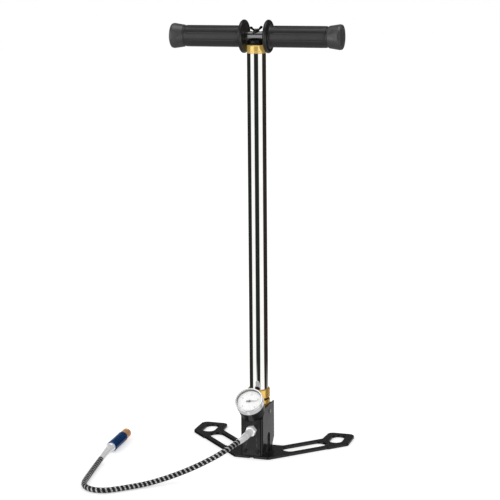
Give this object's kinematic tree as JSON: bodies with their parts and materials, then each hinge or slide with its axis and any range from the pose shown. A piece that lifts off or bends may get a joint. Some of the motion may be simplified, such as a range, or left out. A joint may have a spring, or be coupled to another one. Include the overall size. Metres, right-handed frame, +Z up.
{
  "type": "high-pressure floor pump",
  "caption": "Tall, slender hand-worked floor pump: V-shaped slotted foot plate, boxed valve block with tilted gauge, chromed cylinder, T handle and armoured hose with a coupler.",
  "frame": {"origin": "on the floor, on the cylinder's axis: the centre of the foot plate's underside below the tube", "axes": "+Z up along the cylinder; +X along the handle to the right of someone facing the gauge; -Y the side of the gauge and the hose; the arms of the foot plate spread towards +Y"},
  "size_m": [0.3514, 0.3472, 0.6477],
  "materials": {
    "black_sheet": "glossy black powder coat",
    "black_alloy": "satin black anodising",
    "dark_steel": "black oxide",
    "steel": "ground steel",
    "chrome": "polished",
    "brass": "machined",
    "bronze": "plain",
    "rubber": "matt",
    "grip_rubber": "moulded, with a faint sheen",
    "bar_black": "satin black",
    "glass": "clear",
    "dial": "matt white",
    "needle": "matt black",
    "gauge_black": "gloss black",
    "hose": "black with a steel spiral armour",
    "blue_alloy": "blue anodised",
    "nylon": "natural"
  },
  "bodies": {
    "base": {"foot_plate": "black_sheet", "housing": "black_sheet", "valve_block": "black_alloy", "plate_screw_1": "dark_steel", "plate_screw_2": "dark_steel", "plate_screw_3": "dark_steel", "plate_screw_4": "dark_steel", "front_screw_left": "dark_steel", "front_screw_right": "dark_steel", "side_screw_left": "steel", "side_screw_right": "steel", "base_adapter": "brass", "base_o_ring": "rubber", "tube_nut": "brass", "outer_tube": "chrome", "gland_nut": "brass", "gland_bush": "bronze", "wiper_seal": "rubber", "inner_tube": "steel", "inner_head": "brass", "inner_head_seal": "rubber", "valve_seat": "brass", "outlet_spring": "steel", "gauge_bezel": "chrome", "gauge_glass": "glass", "gauge_dial": "dial", "gauge_case": "gauge_black", "gauge_stem": "brass", "bourdon_tube": "bronze", "hose_fitting": "chrome", "hose_ferrule": "chrome", "hose_guard": "steel", "hose": "hose", "end_guard": "steel", "end_ferrule": "chrome", "coupler_body": "blue_alloy"},
    "piston": {"piston_tube": "chrome", "piston_head": "brass", "piston_seal": "rubber", "piston_wear_ring": "nylon", "plunger_rod": "steel", "plunger_tip": "brass", "top_plug": "steel"},
    "handle": {"handle_hub": "black_alloy", "bumper_ring": "rubber", "handle_bar": "bar_black", "grip_left": "grip_rubber", "grip_right": "grip_rubber", "wing_washer": "dark_steel"},
    "wing_nut": {"wing_nut": "black_alloy"},
    "needle": {"gauge_needle": "needle"},
    "bleed_screw": {"bleed_stem": "steel", "bleed_knob": "black_alloy"},
    "coupler_sleeve": {"coupler_sleeve": "brass"},
    "outlet_ball": {"outlet_ball": "steel"}
  },
  "joints": [
    {"name": "handle_stroke", "type": "slide", "parent": "base", "child": "piston", "axis": [0, 0, 1], "range_m": [0, 0.47]},
    {"name": "handle_swivel", "type": "hinge", "parent": "piston", "child": "handle", "pos_m": [0, 0, 0.6237], "axis": [0, 0, 1], "continuous": true},
    {"name": "wing_nut_turn", "type": "hinge", "parent": "handle", "child": "wing_nut", "pos_m": [0, 0, 0.63], "axis": [0, 0, 1], "range_deg": [0, 360]},
    {"name": "needle_sweep", "type": "hinge", "parent": "base", "child": "needle", "pos_m": [0, -0.0506, 0.0943], "axis": [0, 0.6428, -0.766], "range_deg": [0, 270], "stiffness_Nm_per_rad": 0.0005},
    {"name": "bleed_turn", "type": "hinge", "parent": "base", "child": "bleed_screw", "pos_m": [0, 0.0195, 0.026], "axis": [0, 1, 0], "range_deg": [0, 540]},
    {"name": "sleeve_pull", "type": "slide", "parent": "base", "child": "coupler_sleeve", "axis": [0.0469, -0.9989, 0], "range_m": [0, 0.003], "stiffness_N_per_m": 600},
    {"name": "outlet_lift", "type": "slide", "parent": "base", "child": "outlet_ball", "axis": [0, 0, -1], "range_m": [0, 0.0012], "stiffness_N_per_m": 300, "deforming": ["outlet_spring"]}
  ]
}
